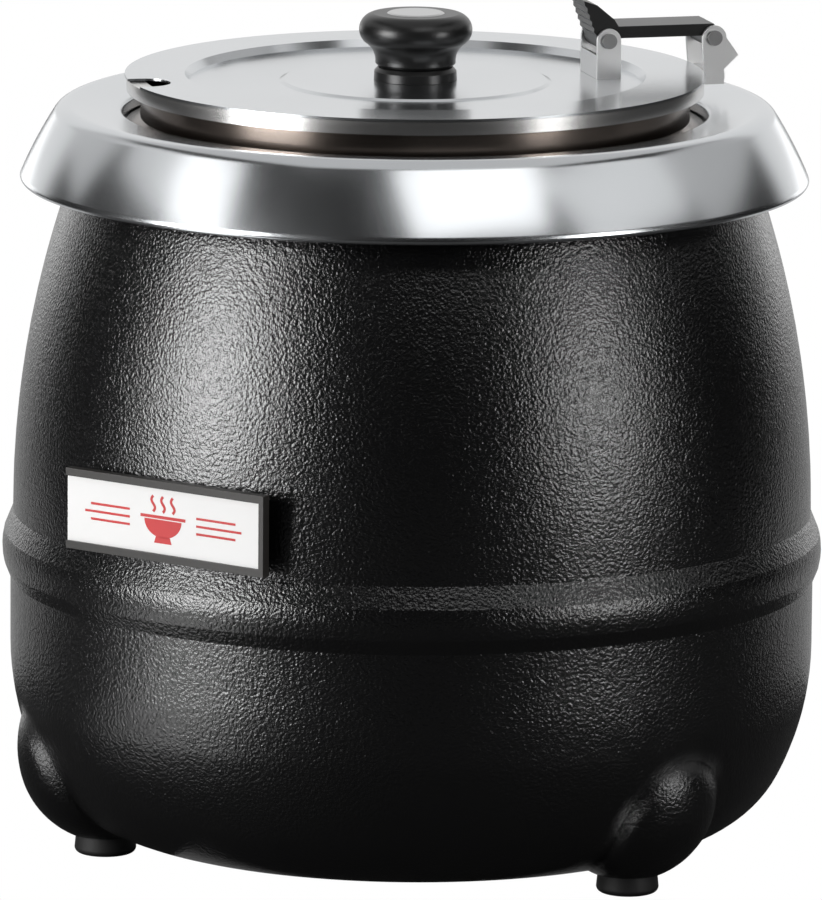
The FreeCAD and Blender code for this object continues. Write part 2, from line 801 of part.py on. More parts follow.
def rim_bracket():
    foot_bottom = rim_top - rim_drop
    foot_top = rim_top - seat_gap
    face = rim_bracket_face()
    inner_side = lid_radius + part_gap * 1.5
    outline = [
        (inner_side - foot_bevel * 2, foot_bottom),
        (inner_side - foot_bevel * 2, foot_top),
        (inner_side, foot_top + foot_bevel),
        (rear_pivot - ear_radius, pivot_height - rim_shoulder_drop),
        (rear_pivot - ear_radius, pivot_height),
        (rear_pivot + ear_radius, pivot_height, rear_pivot, pivot_height + ear_radius),
        (rear_pivot + rim_corner, pivot_height - rim_corner_drop),
        (face, foot_top + foot_bevel),
        (face, foot_bottom),
    ]
    ears = padded("rim_bracket", outline, ear_outside * 2, [(pin_radius + pin_gap, rear_pivot, pivot_height)])
    slot = block(cutter, ear_inside * 2, cutter, rear_pivot - cutter / 2, -ear_inside, foot_top)
    rim_clear = rod(rim_radius + seat_gap, cutter, z=foot_bottom - cutter / 2)
    holes = rim_rivet_rods(rivet_radius + pin_gap)
    return keep(hinge_turn(cut(ears, slot, rim_clear, *holes)), "rim_bracket")


def rim_rivets():
    heads = [rod(rivet_head, rivet_head_height, rim_bracket_face() + pin_gap, side, rim_rivet_height(), "X")
             for side in (rivet_spread / 2, -(rivet_spread / 2))]
    shanks = rim_rivet_rods(rivet_radius)
    return keep(hinge_turn(group([fuse(*pair) for pair in zip(heads, shanks)])), "rim_rivets")


def hinge_pin(label, radius):
    """A headed pin across both ears of a bracket."""
    half = ear_outside + pin_gap
    shank = rod(pin_radius, half * 2, radius, -half, pivot_height, "Y")
    near = rod(pin_head, pin_head_height, radius, -half - pin_head_height, pivot_height, "Y")
    far = rod(pin_head, pin_head_height, radius, half, pivot_height, "Y")
    return keep(hinge_turn(fuse(shank, near, far)), label)


def hinge_lever():
    """The arm between the two pins, with the ribbed thumb tab at its front end."""
    low = pivot_height + arm_low_rise
    high = pivot_height + arm_high_rise
    top = pivot_height + tab_height
    left = front_pivot - lever_end
    rise = (top - pivot_height) / 6
    lean = tab_lean / 6
    ribs = []
    for i in range(5, 0, -1):
        edge = left - lean * i
        ribs.append((edge - rib_depth / 2, pivot_height + rise * i + rise / 4))
        ribs.append((edge + rib_depth / 2, pivot_height + rise * i - rise / 8))
    outline = [
        (rear_pivot - lever_end, low),
        (rear_pivot - lever_end, pivot_height),
        (rear_pivot + lever_end, pivot_height, rear_pivot, pivot_height - lever_end),
        (rear_pivot, high),
        (front_pivot + lever_end, high),
        (left + tab_thickness + tab_root / 2, high + tab_root),
        (left + tab_thickness - tab_lean, top - tab_round),
        (left - tab_lean, top),
    ] + ribs + [
        (left, pivot_height),
        (front_pivot + lever_end, pivot_height, front_pivot, pivot_height - lever_end),
        (front_pivot + lever_end, low),
    ]
    pins = [(pin_radius + pin_gap, pivot, pivot_height) for pivot in (front_pivot, rear_pivot)]
    return keep(hinge_turn(padded("hinge_lever", outline, lever_width, pins)), "hinge_lever")


def lid():
    slope = lid_slope
    under = lid_wall
    body = turned("lid", [
        (0, lid_centre - under),
        (lid_ring - slope, lid_centre - under),
        (lid_ring, lid_panel - under),
        (lid_step - slope, lid_panel - under),
        (lid_step, lid_height - under),
        (lid_radius, lid_height - under),
        (lid_radius, lid_height),
        (lid_step - under, lid_height),
        (lid_step - slope - under, lid_panel),
        (lid_ring + under, lid_panel),
        (lid_ring - slope + under, lid_centre),
        (0, lid_centre),
    ])
    half = notch_width / 2
    notch_end = lid_radius - notch_depth + half
    low = lid_panel - cutter / 2
    slot = block(cutter, notch_width, cutter, -notch_end - cutter, -half, low)
    notch = fuse(slot, rod(half, cutter, -notch_end, 0, low))
    holes = lid_rivet_rods(rivet_radius + pin_gap)
    holes.append(rod(screw_radius + pin_gap, cutter, z=low))
    return keep(cut(body, *[hinge_turn(item) for item in [notch] + holes]), "lid")


def lid_rivet_rods(radius):
    bottom = lid_panel - lid_wall - part_gap
    length = lid_wall + bracket_base + part_gap * 2
    sides = (rivet_spread / 2, -(rivet_spread / 2))
    return [rod(radius, length, front_pivot, side, bottom) for side in sides]


def lid_bracket():
    base = lid_panel + seat_gap / 4
    left = front_pivot - ear_radius
    right = front_pivot + ear_radius
    outline = [
        (left, base),
        (left, pivot_height),
        (right, pivot_height, front_pivot, pivot_height + ear_radius),
        (right, base),
    ]
    ears = padded("lid_bracket", outline, ear_outside * 2, [(pin_radius + pin_gap, front_pivot, pivot_height)])
    slot = block(cutter, ear_inside * 2, cutter, left + ear_thickness, -ear_inside, base + bracket_base)
    window_bottom = pivot_height - lever_end - ear_thickness
    above = block(cutter, ear_inside * 2, cutter, left - cutter / 2, -ear_inside, window_bottom)
    return keep(hinge_turn(cut(ears, slot, above, *lid_rivet_rods(rivet_radius + pin_gap))), "lid_bracket")


def lid_rivets():
    heads = []
    under = lid_panel - lid_wall - pin_gap
    for side in (rivet_spread / 2, -(rivet_spread / 2)):
        top = rod(rivet_head, rivet_head_height, front_pivot, side, lid_panel + bracket_base + seat_gap)
        bottom = rod(rivet_head, rivet_head_height, front_pivot, side, under - rivet_head_height)
        heads.append((top, bottom))
    shanks = lid_rivet_rods(rivet_radius)
    pairs = [fuse(top, bottom, shank) for (top, bottom), shank in zip(heads, shanks)]
    return keep(hinge_turn(group(pairs)), "lid_rivets")


def knob_parts():
    base = lid_centre + seat_gap / 4
    neck = base + knob_base_height
    hole = screw_radius + pin_gap
    ring = turned("knob_base", [
        (hole, base),
        (knob_base_radius, base),
        (knob_base_radius - seat_gap, neck - knob_groove),
        (knob_base_radius - knob_groove, neck),
        (hole, neck),
    ])
    keep(ring, "knob_base")
    bottom = neck + seat_gap / 4
    neck_top = bottom + knob_neck_height
    crown = base + knob_height
    seat = knob_cap_radius + pin_gap
    hole_top = lid_panel + knob_screw_length
    knob = turned("lid_knob", [
        (hole, bottom),
        (knob_neck - knob_groove, bottom),
        (knob_neck, bottom + knob_groove),
        (knob_neck, neck_top),
        (knob_under, base + knob_under_height, knob_neck + knob_flare, neck_top + knob_flare_rise),
        (knob_crown, crown, knob_radius, base + knob_wide),
        (seat, crown),
        (seat, crown - knob_cap_seat),
        (0, crown - knob_cap_seat),
        (0, hole_top),
        (hole, hole_top),
    ])
    keep(knob, "lid_knob")
    cap_bottom = crown - knob_cap_seat + seat_gap / 4
    cap = turned("knob_cap", [
        (0, cap_bottom),
        (knob_cap_radius, cap_bottom),
        (knob_cap_radius, cap_bottom + knob_cap_height / 2),
        (knob_cap_radius - knob_cap_height, cap_bottom + knob_cap_height),
        (0, cap_bottom + knob_cap_height),
    ])
    keep(cap, "knob_cap")
    head_top = lid_centre - lid_wall - seat_gap / 4
    screw = turned("knob_screw", [
        (0, head_top - screw_head_height),
        (screw_head, head_top - screw_head_height),
        (screw_head, head_top),
        (screw_radius, head_top),
        (screw_radius, hole_top - part_gap),
        (0, hole_top - part_gap),
    ])
    keep(screw, "knob_screw")


def label_turn(thing):
    """Turn a label piece, made facing +X, to its place round the upper shell."""
    return carry(thing, turn=label_angle)


def label_back_face():
    return shell_radius + saddle_standoff


def label_parts():
    """A flat holder with two rails and an end stop, on a saddle that fits the shell."""
    back = label_back_face()
    bottom = label_middle - label_height / 2
    half = label_width / 2
    frame = block(label_thickness, label_width, label_height, back, -half, bottom)
    slot_bottom = bottom + rail_height - rail_overlap
    slot_height = label_height - rail_height * 2 + rail_overlap * 2
    slot_depth = label_thickness - label_back - rail_lip
    channel = block(slot_depth, label_width, slot_height, back + label_back, -half - end_stop, slot_bottom)
    window_height = label_height - rail_height * 2
    side = -half - end_stop
    window = block(cutter, label_width, window_height, back + label_back, side, bottom + rail_height)
    saddle_depth = shell_radius / 6
    saddle_height = label_height - rail_height * 2
    saddle_start = back - saddle_depth
    saddle_side = -(saddle_width / 2)
    saddle = block(saddle_depth, saddle_width, saddle_height, saddle_start, saddle_side, bottom + rail_height)
    shell = rod(shell_radius + seat_gap, label_height * 2, z=bottom - label_height / 2)
    holder = fuse(cut(frame, channel, window), cut(saddle, shell))
    keep(label_turn(holder), "label_holder")
    card_depth = back + label_back + (slot_depth - card_thickness) / 2
    card_length = label_width - end_stop - part_gap
    card_start = -half
    card = block(card_thickness, card_length, card_height, card_depth, card_start, slot_bottom + part_gap)
    keep(label_turn(card), "label_card")


def control_parts():
    """Dial, knob and shaft of the thermostat, and its body inside the shell."""
    face = seam_radius + dial_thickness
    inside = seam_radius - wall
    plate = rod(dial_radius, dial_thickness * 3, seam_radius - dial_thickness * 2, 0, 0, "X")
    shell = rod(seam_radius + seat_gap, dial_radius * 4, z=-dial_radius * 2)
    hole = rod(shaft_radius + part_gap, dial_radius * 4, seam_radius - dial_radius, 0, 0, "X")
    keep(radial(cut(plate, shell, hole), control_angle), "dial_plate")
    start = face + part_gap
    knob_body = cone(dial_knob_radius, dial_knob_radius - dial_knob_taper, dial_knob_length, start)
    knob_hole = rod(shaft_radius + pin_gap, shaft_length, start - part_gap, 0, 0, "X")
    keep(radial(cut(knob_body, knob_hole), control_angle), "thermostat_knob")
    body_start = inside - part_gap - strap_depth - thermostat_depth
    shaft_start = body_start + thermostat_depth + part_gap
    shaft_end = start - part_gap + shaft_length - part_gap
    shaft = rod(shaft_radius, shaft_end - shaft_start, shaft_start, 0, 0, "X")
    keep(radial(shaft, control_angle), "thermostat_shaft")
    half = thermostat_width / 2
    case = block(thermostat_depth, thermostat_width, thermostat_width, body_start, -half, -half)
    strap_bottom = half - strap_thickness
    strap_start = body_start + thermostat_depth
    strap = block(strap_depth, strap_width, strap_thickness, strap_start, -(strap_width / 2), strap_bottom)
    keep(radial(fuse(case, strap), control_angle), "thermostat_body")


def cone(near, far, length, start):
    """A cone frustum along +X."""
    thing = doc.addObject("Part::Cone", "cone")
    thing.setExpression("Radius1", near.text)
    thing.setExpression("Radius2", far.text)
    thing.setExpression("Height", length.text)
    thing.Placement = FreeCAD.Placement(Vector(), FreeCAD.Rotation(Vector(0, 1, 0), 90))
    thing.setExpression("Placement.Base.x", start.text)
    return thing


def lamp_and_gland():
    """The pilot lamp, and the gland that the supply cord passes through."""
    barrel = rod(lamp_radius, lamp_length + lamp_dome, seam_radius - lamp_length, 0, 0, "X")
    bezel = rod(lamp_bezel, lamp_dome, seam_radius + seat_gap, 0, 0, "X")
    keep(radial(fuse(barrel, bezel), lamp_angle), "pilot_lamp")
    thread = rod(gland_radius, gland_thread + gland_length, seam_radius - gland_thread, 0, 0, "X")
    nose = cone(gland_flange, gland_radius, gland_length, seam_radius + seat_gap)
    bore = rod(gland_bore, gland_length * 4, seam_radius - gland_length * 2, 0, 0, "X")
    keep(radial(cut(fuse(thread, nose), bore), gland_angle), "cord_gland")
    start = seam_radius - wall - gland_nut_length - part_gap * 2
    nut = rod(gland_nut, gland_nut_length, start, 0, 0, "X")
    hole = rod(gland_radius + pin_gap, gland_nut_length * 2, start - gland_nut_length / 2, 0, 0, "X")
    keep(radial(cut(nut, hole), gland_angle), "gland_nut")


def at(distance, angle, height):
    """A point given by its distance from the axis, its turn and its height."""
    return Vector(
        distance.value * math.cos(math.radians(angle.value)),
        distance.value * math.sin(math.radians(angle.value)),
        height.value,
    )


def tube(label, points, radius, bend):
    """A wire of straight runs joined by tangent arcs."""
    edges = []
    start = points[0]
    for before, corner, after in zip(points, points[1:], points[2:]):
        inward = (before - corner).normalize()
        outward = (after - corner).normalize()
        half = inward.getAngle(outward) / 2
        reach = bend / math.tan(half)
        middle = (inward + outward).normalize()
        centre = corner + middle * (bend / math.sin(half))
        entry = corner + inward * reach
        leave = corner + outward * reach
        edges.append(Part.LineSegment(start, entry).toShape())
        edges.append(Part.Arc(entry, centre - middle * bend, leave).toShape())
        start = leave
    edges.append(Part.LineSegment(start, points[-1]).toShape())
    path = Part.Wire(edges)
    ring = Part.Wire(Part.Circle(points[0], points[1] - points[0], radius).toShape())
    thing = doc.addObject("Part::Feature", label)
    thing.Shape = path.makePipeShell([ring], True, False)
    return keep(thing, label)


def wiring():
    """Terminal block on the base cover and the wires that run from it."""
    half = block_length / 2
    bottom = cover_top + seat_gap
    case = block(block_width, block_length, block_height, block_place - block_width / 2, -half, bottom)
    keep(carry(case, turn=gland_angle), "terminal_block")
    top = bottom + block_height + seat_gap
    low = top + wire_rise
    heater_low = clamp_bottom - seat_gap
    thermostat_low = control_height - thermostat_width / 2 - seat_gap
    case_middle = seam_radius - wall - part_gap - strap_depth - thermostat_depth / 2
    live_side = gland_angle + wire_spread
    neutral_side = gland_angle - wire_spread
    neutral_end = gland_angle + neutral_turn
    heater_end = control_angle + heater_turn
    case_turn = wire_spread / 2
    inner_end = heater_outer - wire_bend
    tube("live_wire", [
        at(block_place, live_side, top),
        at(block_place, live_side, low),
        at(case_middle, control_angle - case_turn, low + wire_step * 2),
        at(case_middle, control_angle - case_turn, thermostat_low),
    ], wire_radius.value, wire_bend.value)
    tube("neutral_wire", [
        at(block_place, neutral_side, top),
        at(block_place, neutral_side, low - wire_step),
        at(inner_end, neutral_end, low - wire_step * 2),
        at(inner_end, neutral_end, heater_low),
    ], wire_radius.value, wire_bend.value)
    tube("heater_wire", [
        at(case_middle, control_angle + case_turn, thermostat_low),
        at(case_middle, control_angle + case_turn, low + wire_step * 3),
        at(inner_end, heater_end, low + wire_step),
        at(inner_end, heater_end, heater_low),
    ], wire_radius.value, wire_bend.value)


def check_parts():
    """Stop if any object failed or any sub-part has no sound shape."""
    for thing in doc.Objects:
        if any(word in thing.State for word in ("Invalid", "Error")):
            raise RuntimeError(f"{thing.Label} failed: {thing.State}")
    for thing in parts:
        if thing.Shape.isNull() or not thing.Shape.isValid() or not thing.Shape.Solids:
            raise RuntimeError(f"{thing.Label} has no sound shape")


def main():
    upper_shell()
    lower_shell()
    foot_parts()
    collar()
    collar_fixings()
    water_well()
    heater_parts()
    base_parts()
    inner_pot()
    rim_bracket()
    rim_rivets()
    hinge_pin("rim_pin", rear_pivot)
    hinge_lever()
    hinge_pin("lid_pin", front_pivot)
    lid()
    lid_bracket()
    lid_rivets()
    knob_parts()
    label_parts()
    control_parts()
    lamp_and_gland()
    wiring()
    doc.recompute()
    check_parts()
    os.makedirs("parts", exist_ok=True)
    for thing in parts:
        thing.Shape.exportStep(f"parts/{thing.Label}.step")
        print(thing.Label, len(thing.Shape.Solids), round(thing.Shape.Volume))


main()
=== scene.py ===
import bpy
import json
import math
from mathutils import Matrix, Vector


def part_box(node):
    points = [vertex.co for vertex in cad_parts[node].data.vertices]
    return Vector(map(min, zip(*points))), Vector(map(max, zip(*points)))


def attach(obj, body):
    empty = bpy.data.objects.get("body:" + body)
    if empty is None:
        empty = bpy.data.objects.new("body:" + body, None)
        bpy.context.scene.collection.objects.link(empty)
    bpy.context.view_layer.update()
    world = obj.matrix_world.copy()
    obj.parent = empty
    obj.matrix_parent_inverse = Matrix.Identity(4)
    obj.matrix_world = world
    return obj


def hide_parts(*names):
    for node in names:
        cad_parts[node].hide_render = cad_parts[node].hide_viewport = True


# Soup kettle seen from the front, a little above. Metres, in the part's own frame.

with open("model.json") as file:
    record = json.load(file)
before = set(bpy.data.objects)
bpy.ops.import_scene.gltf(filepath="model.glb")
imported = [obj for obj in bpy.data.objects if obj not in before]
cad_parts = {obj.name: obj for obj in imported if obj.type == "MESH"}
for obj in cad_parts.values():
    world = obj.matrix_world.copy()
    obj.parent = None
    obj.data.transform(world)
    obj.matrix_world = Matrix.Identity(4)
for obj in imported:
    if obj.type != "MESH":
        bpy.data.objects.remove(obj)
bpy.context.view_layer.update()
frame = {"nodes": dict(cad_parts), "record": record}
nodes = frame["nodes"]

MM = 0.001

# Where the CAD has the label card, the dial plate and the thermostat knob.
LABEL_ANGLE = math.radians(234.2)
CARD_THICKNESS = 1.0 * MM
CONTROL_ANGLE = math.radians(52.0)
CONTROL_HEIGHT = 96.0 * MM
DIAL_FACE = 171.5 * MM
KNOB_FACE = 185.9 * MM

# How far ink stands off the face that it is printed on, and how thick it is.
INK_GAP = 0.02 * MM
CARD_INK = 0.06 * MM
DIAL_INK = 0.05 * MM

# Noise seldom leaves this range.
NOISE_LOW = 0.15
NOISE_HIGH = 0.85

# The dark studio and the white backdrop, which fades in between two values of a direction's Y.
STUDIO_LEVEL = 0.012
BACKDROP_LEVEL = 0.85
BACKDROP_EDGE = (0.66, 0.76)

CAMERA_PLACE = Vector((0.0, -4.340, 1.005))
CAMERA_TARGET = Vector((-0.0006, 0.0, 0.1672))
CAMERA_ROLL = math.radians(0.45)
CAMERA_SENSOR = 36.0
CAMERA_LENS = 420.0
CAMERA_REACH = 50.0


def link(tree, output, node, socket):
    tree.links.new(output, node.inputs[socket])


def new_material(name):
    """A new material, its node tree and the shader in it."""
    mat = bpy.data.materials.new(name)
    mat.use_nodes = True
    tree = mat.node_tree
    return mat, tree, tree.nodes["Principled BSDF"]


def noise(tree, coords, scale, detail):
    node = tree.nodes.new("ShaderNodeTexNoise")
    node.inputs["Scale"].default_value = scale
    node.inputs["Detail"].default_value = detail
    link(tree, coords, node, "Vector")
    return node.outputs["Fac"]


def ramp(tree, factor, low, high, first, second):
    """Colours that change from one to the other between two factor values."""
    node = tree.nodes.new("ShaderNodeValToRGB")
    node.color_ramp.elements[0].position = low
    node.color_ramp.elements[1].position = high
    node.color_ramp.elements[0].color = first
    node.color_ramp.elements[1].color = second
    link(tree, factor, node, "Fac")
    return node.outputs["Color"]


def spread(tree, factor, low, high):
    """A number that runs between two values over the usual range of a noise."""
    node = tree.nodes.new("ShaderNodeMapRange")
    node.inputs["From Min"].default_value = NOISE_LOW
    node.inputs["From Max"].default_value = NOISE_HIGH
    node.inputs["To Min"].default_value = low
    node.inputs["To Max"].default_value = high
    link(tree, factor, node, "Value")
    return node.outputs["Result"]


def object_coords(tree):
    return tree.nodes.new("ShaderNodeTexCoord").outputs["Object"]


def round_coords(tree):
    """Coordinates that only change with the distance from the axis and the height, for turned metal."""
    split = tree.nodes.new("ShaderNodeSeparateXYZ")
    link(tree, object_coords(tree), split, "Vector")
    flat = tree.nodes.new("ShaderNodeCombineXYZ")
    link(tree, split.outputs["X"], flat, "X")
    link(tree, split.outputs["Y"], flat, "Y")
    reach = tree.nodes.new("ShaderNodeVectorMath")
    reach.operation = "LENGTH"
    link(tree, flat.outputs["Vector"], reach, 0)
    joined = tree.nodes.new("ShaderNodeCombineXYZ")
    link(tree, reach.outputs["Value"], joined, "X")
    link(tree, split.outputs["Z"], joined, "Y")
    return joined.outputs["Vector"]


def bumped(tree, shader, height, depth, strength, edge):
    """A bump of a real depth on the shader's normal, and rounded edges where a radius is given."""
    bump = tree.nodes.new("ShaderNodeBump")
    bump.inputs["Strength"].default_value = strength
    bump.inputs["Distance"].default_value = depth
    link(tree, height, bump, "Height")
    link(tree, bump.outputs["Normal"], shader, "Normal")
    if edge:
        bevel = tree.nodes.new("ShaderNodeBevel")
        bevel.samples = 4
        bevel.inputs["Radius"].default_value = edge
        link(tree, bevel.outputs["Normal"], bump, "Normal")


def shade(level, warm=0.0):
    """A grey, a little warm or cold."""
    return (level * (1 + warm), level, level * (1 - warm), 1.0)


def finish_material(
        name, dark, light, rough, grain, depth, strength=0.6, edge=0.3 * MM, metallic=0.0, turned=False):
    """A procedural finish: two close colours, uneven roughness and a fine bump."""
    mat, tree, shader = new_material(name)
    fine = noise(tree, round_coords(tree) if turned else object_coords(tree), scale=grain, detail=2.0)
    broad = noise(tree, object_coords(tree), scale=18.0, detail=3.0)
    link(tree, ramp(tree, broad, NOISE_LOW, NOISE_HIGH, dark, light), shader, "Base Color")
    link(tree, spread(tree, broad, rough[0], rough[1]), shader, "Roughness")
    shader.inputs["Metallic"].default_value = metallic
    bumped(tree, shader, fine, depth, strength, edge)
    return mat


def coat_material(name, edge=None):
    """Black powder coat with a pebbled grain between one and two millimetres wide."""
    dark = (0.0014, 0.0014, 0.0016, 1)
    light = (0.0022, 0.0022, 0.0024, 1)
    mat, tree, shader = new_material(name)
    coords = object_coords(tree)
    grain = noise(tree, coords, scale=760.0, detail=2.0)
    fine = noise(tree, coords, scale=1400.0, detail=1.0)
    broad = noise(tree, coords, scale=9.0, detail=3.0)
    link(tree, ramp(tree, broad, 0.3, 0.7, dark, light), shader, "Base Color")
    link(tree, spread(tree, fine, 0.18, 0.27), shader, "Roughness")
    shader.inputs["Specular IOR Level"].default_value = 0.85
    bumped(tree, shader, grain, depth=0.5 * MM, strength=0.8, edge=edge)
    return mat


def lamp_material():
    """Amber plastic that lets some light through."""
    dark = (0.72, 0.2, 0.02, 1)
    light = (0.86, 0.3, 0.04, 1)
    mat, tree, shader = new_material("lamp_amber")
    grain = noise(tree, object_coords(tree), scale=260.0, detail=2.0)
    link(tree, ramp(tree, grain, 0.3, 0.7, dark, light), shader, "Base Color")
    link(tree, spread(tree, grain, 0.12, 0.2), shader, "Roughness")
    shader.inputs["Transmission Weight"].default_value = 0.35
    bumped(tree, shader, grain, depth=0.05 * MM, strength=0.3, edge=0.3 * MM)
    return mat


def pot_material():
    """Bright at the rim, a painted dark brown shade on the neck under it, brushed steel on the wall."""
    wall = (0.5, 0.495, 0.49, 1)
    # The neck's colour is painted shade, for the dark gap between the lid and the collar.
    neck_painted_shade = (0.15, 0.125, 0.108, 1)
    rim = (0.72, 0.71, 0.7, 1)
    wall_top, neck_low, neck_top, rim_low = 298.0 * MM, 300.8 * MM, 320.2 * MM, 321.0 * MM
    low, high = 290.0 * MM, 330.0 * MM
    mat, tree, shader = new_material("pot_steel")
    height = tree.nodes.new("ShaderNodeSeparateXYZ")
    link(tree, object_coords(tree), height, "Vector")
    level = tree.nodes.new("ShaderNodeMapRange")
    level.inputs["From Min"].default_value = low
    level.inputs["From Max"].default_value = high
    link(tree, height.outputs["Z"], level, "Value")
    zones = tree.nodes.new("ShaderNodeValToRGB")
    link(tree, level.outputs["Result"], zones, "Fac")
    first, last = zones.color_ramp.elements
    first.position, first.color = (wall_top - low) / (high - low), wall
    last.position, last.color = (rim_low - low) / (high - low), rim
    for edge in (neck_low, neck_top):
        zones.color_ramp.elements.new((edge - low) / (high - low)).color = neck_painted_shade
    link(tree, zones.outputs["Color"], shader, "Base Color")
    brushed = noise(tree, round_coords(tree), scale=1800.0, detail=2.0)
    link(tree, spread(tree, brushed, 0.18, 0.27), shader, "Roughness")
    shader.inputs["Metallic"].default_value = 1.0
    bumped(tree, shader, brushed, depth=0.01 * MM, strength=0.25, edge=None)
    return mat


# The finishes by material slot. The coat and the lamp have materials of their own.
FINISHES = {
    "polished_steel": dict(
        dark=shade(0.68, -0.03), light=shade(0.76, -0.025), rough=(0.17, 0.25), metallic=1.0,
        grain=1500.0, depth=0.008 * MM, strength=0.2, edge=None, turned=True),
    "zinc_steel": dict(
        dark=shade(0.42, 0.02), light=shade(0.56), rough=(0.28, 0.38), metallic=1.0,
        grain=1200.0, depth=0.03 * MM),
    "well_aluminium": dict(
        dark=shade(0.5), light=shade(0.62), rough=(0.3, 0.42), metallic=1.0,
        grain=2600.0, depth=0.03 * MM, turned=True),
    "heater_sheath": dict(
        dark=shade(0.2, 0.18), light=shade(0.36, 0.12), rough=(0.35, 0.5), metallic=1.0,
        grain=700.0, depth=0.05 * MM),
    "foot_rubber": dict(
        dark=shade(0.004), light=shade(0.009), rough=(0.55, 0.7), grain=900.0, depth=0.06 * MM),
    "black_plastic": dict(
        dark=shade(0.005), light=shade(0.009), rough=(0.28, 0.36), grain=1300.0, depth=0.03 * MM),
    "brown_plastic": dict(
        dark=(0.06, 0.024, 0.012, 1), light=(0.1, 0.045, 0.02, 1), rough=(0.3, 0.42),
        grain=800.0, depth=0.04 * MM),
    "holder_plastic": dict(
        dark=shade(0.012, 0.12), light=shade(0.02, 0.12), rough=(0.3, 0.42),
        grain=900.0, depth=0.03 * MM),
    "white_plastic": dict(
        dark=shade(0.6, 0.03), light=shade(0.7, 0.02), rough=(0.4, 0.5), grain=800.0, depth=0.03 * MM),
    "cap_silver": dict(
        dark=shade(0.6), light=shade(0.7), rough=(0.3, 0.38), metallic=1.0,
        grain=2400.0, depth=0.02 * MM, turned=True),
    "card_white": dict(
        dark=shade(0.78, 0.01), light=shade(0.84, 0.005), rough=(0.3, 0.4),
        grain=1600.0, depth=0.01 * MM, strength=0.3, edge=0.1 * MM),
    "wire_red": dict(
        dark=(0.24, 0.012, 0.012, 1), light=(0.34, 0.02, 0.02, 1), rough=(0.4, 0.55),
        grain=900.0, depth=0.03 * MM),
    "wire_blue": dict(
        dark=(0.012, 0.03, 0.2, 1), light=(0.02, 0.05, 0.3, 1), rough=(0.4, 0.55),
        grain=900.0, depth=0.03 * MM),
}
MATERIALS = {slot: finish_material(slot, **finish) for slot, finish in FINISHES.items()}
MATERIALS["black_coat"] = coat_material("black_coat")
MATERIALS["lamp_amber"] = lamp_material()

print_red = finish_material(
    "print_red", dark=(0.5, 0.012, 0.015, 1), light=(0.6, 0.02, 0.02, 1), rough=(0.35, 0.45),
    grain=1200.0, depth=0.01 * MM, strength=0.3, edge=0.05 * MM)
print_white = finish_material(
    "print_white", dark=shade(0.7), light=shade(0.78), rough=(0.4, 0.5),
    grain=1200.0, depth=0.01 * MM, strength=0.3, edge=0.05 * MM)

# Nodes that are polished or coated differently from the rest of their slot. The brackets and their rivets get a
# lighter steel as a painted highlight, and the pins a darker steel as painted shade.
bracket_painted_highlight = finish_material(
    "bracket_painted_highlight", dark=shade(0.8), light=shade(0.9), rough=(0.3, 0.4), metallic=1.0,
    grain=1400.0, depth=0.02 * MM, strength=0.4, edge=0.25 * MM)
# Darker steel on the pins: painted shade, for the shaded ring round each pin head.
pin_painted_shade = finish_material(
    "pin_painted_shade", dark=shade(0.34), light=shade(0.44), rough=(0.28, 0.36), metallic=1.0,
    grain=1400.0, depth=0.02 * MM, strength=0.4, edge=0.25 * MM)
OWN_FINISH = {
    "inner_pot": pot_material(),
    "lid": finish_material(
        "lid_steel", dark=shade(0.66, -0.03), light=shade(0.74, -0.025), rough=(0.16, 0.22), metallic=1.0,
        grain=1500.0, depth=0.01 * MM, strength=0.25, edge=None, turned=True),
    "lower_shell": coat_material("bowl_coat", edge=10.0 * MM),
    "lid_bracket": bracket_painted_highlight,
    "lid_rivets": bracket_painted_highlight,
    "rim_bracket": bracket_painted_highlight,
    "rim_rivets": bracket_painted_highlight,
    "lid_pin": pin_painted_shade,
    "rim_pin": pin_painted_shade,
}


def paint_nodes():
    """Give every CAD node the finish of its slot, or its own where it has one."""
    for part in frame["record"]["subparts"]:
        mesh = nodes[part["node"]].data
        mesh.materials.clear()
        mesh.materials.append(OWN_FINISH.get(part["node"], MATERIALS[part["material_slot"]]))


def mesh_piece(name, points, faces, mat, place=None):
    mesh = bpy.data.meshes.new(name)
    mesh.from_pydata(points, [], faces)
    mesh.update()
    piece = bpy.data.objects.new(name, mesh)
    bpy.context.collection.objects.link(piece)
    mesh.materials.append(mat)
    if place is not None:
        piece.matrix_world = place
    return piece


def arc(start, middle, end, samples):
    """Points after the start on the arc through three points."""
    (ax, ay), (bx, by), (cx, cy) = start, middle, end
    a2, b2, c2 = ax * ax + ay * ay, bx * bx + by * by, cx * cx + cy * cy
    d = 2 * (ax * (by - cy) + bx * (cy - ay) + cx * (ay - by))
    ux = (a2 * (by - cy) + b2 * (cy - ay) + c2 * (ay - by)) / d
    uy = (a2 * (cx - bx) + b2 * (ax - cx) + c2 * (bx - ax)) / d
    first = math.atan2(ay - uy, ax - ux)
    turn = math.remainder(math.atan2(cy - uy, cx - ux) - first, 2 * math.pi)
    radius = math.hypot(ax - ux, ay - uy)
    steps = [first + turn * (i + 1) / samples for i in range(samples)]
    return [(ux + radius * math.cos(a), uy + radius * math.sin(a)) for a in steps]


def turned_piece(name, profile, mat, count=288, crease=40):
    """A closed profile of radius and height in millimetres, turned about the upright axis."""
    points = []
    faces = []
    rows = len(profile)
    for i in range(count):
        angle = 2 * math.pi * i / count
        points += [(r * MM * math.cos(angle), r * MM * math.sin(angle), z * MM) for r, z in profile]
    for i in range(count):
        near = i * rows
        far = ((i + 1) % count) * rows
        for j in range(rows):
            k = (j + 1) % rows
            faces.append((near + j, far + j, far + k, near + k))
    piece = mesh_piece(name, points, faces, mat)
    for face in piece.data.polygons:
        face.use_smooth = True
    piece.data.set_sharp_from_angle(angle=math.radians(crease))
    return piece


